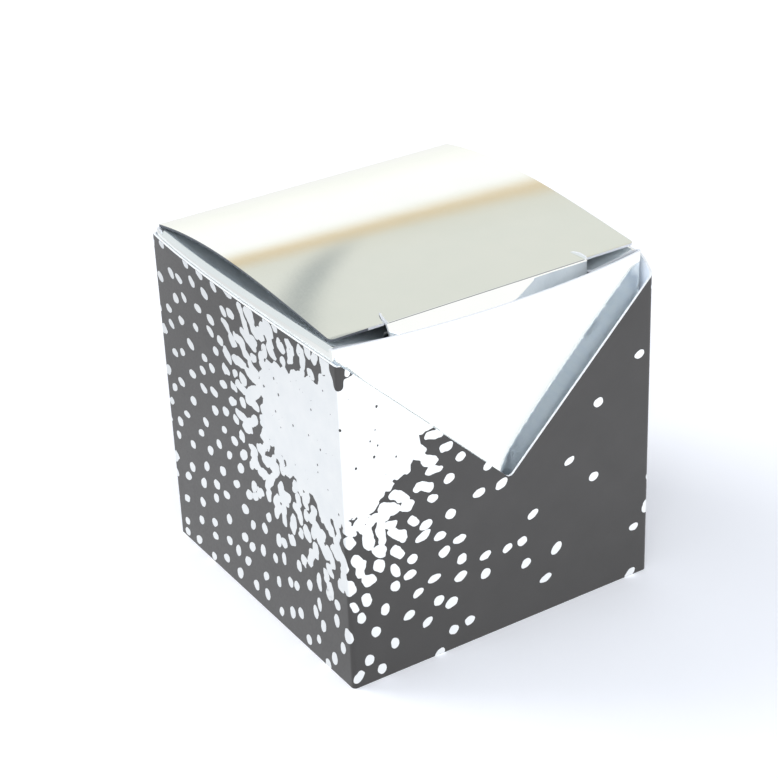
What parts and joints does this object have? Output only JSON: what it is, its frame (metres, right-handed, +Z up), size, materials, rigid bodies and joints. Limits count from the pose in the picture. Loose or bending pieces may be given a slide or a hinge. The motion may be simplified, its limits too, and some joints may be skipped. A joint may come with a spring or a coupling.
{
  "type": "favor box",
  "caption": "Small cube favor box: black card sleeve with a silver speck burst and a V cut front, around a mirror-silver tuck-top box with a hinged lid.",
  "frame": {"origin": "middle of the box's footprint, on the surface that it stands on", "axes": "+Z up; -Y out of the front, the wall with the V cut; +X to the right of someone facing that front"},
  "size_m": [0.05, 0.0502, 0.0527],
  "materials": {
    "printed_card": "satin",
    "silver_foil": "satin",
    "mirror_card": "polished"
  },
  "bodies": {
    "sleeve_body": {"sleeve": "printed_card", "silver_print": "silver_foil"},
    "box_body": {"inner_box": "mirror_card"},
    "lid_body": {"lid": "mirror_card"}
  },
  "joints": [
    {"name": "box_slide", "type": "slide", "parent": "sleeve_body", "child": "box_body", "axis": [0, 0, 1], "range_m": [0, 0.052]},
    {"name": "lid_hinge", "type": "hinge", "parent": "box_body", "child": "lid_body", "pos_m": [0, 0.02357, 0.05067], "axis": [-1, 0, 0], "range_deg": [0, 180]}
  ]
}
